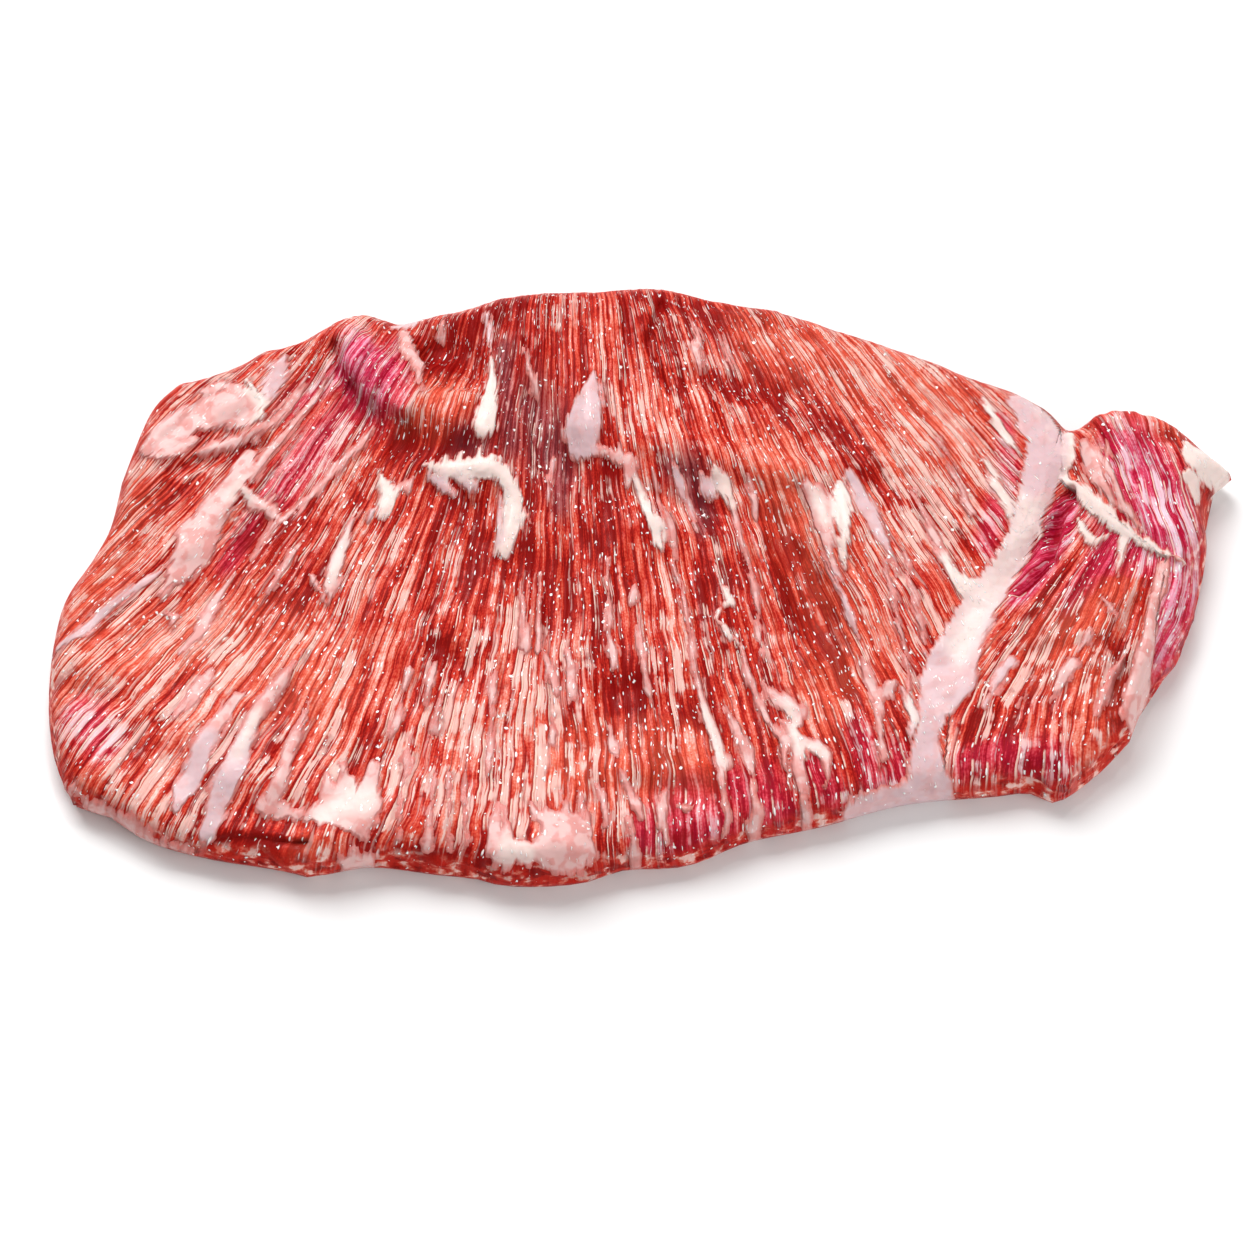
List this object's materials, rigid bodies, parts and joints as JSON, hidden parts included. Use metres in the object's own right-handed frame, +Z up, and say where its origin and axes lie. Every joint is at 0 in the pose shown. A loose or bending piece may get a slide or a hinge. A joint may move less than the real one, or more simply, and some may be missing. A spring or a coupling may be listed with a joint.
{
  "type": "raw pork secreto",
  "caption": "Raw boneless pork cut: a thin fan-shaped muscle with long marbled fibres, a fat seam and a small raised flap at one end, lying flat.",
  "frame": {"origin": "middle of the piece's box in plan, on the surface that the flat underside lies on", "axes": "+X along the piece towards the flap, +Y across it towards the thicker far edge, +Z up out of the top face"},
  "size_m": [0.28, 0.155, 0.0214],
  "materials": {
    "raw_pork": "moist"
  },
  "bodies": {
    "root": {"secreto": "raw_pork"}
  },
  "joints": []
}
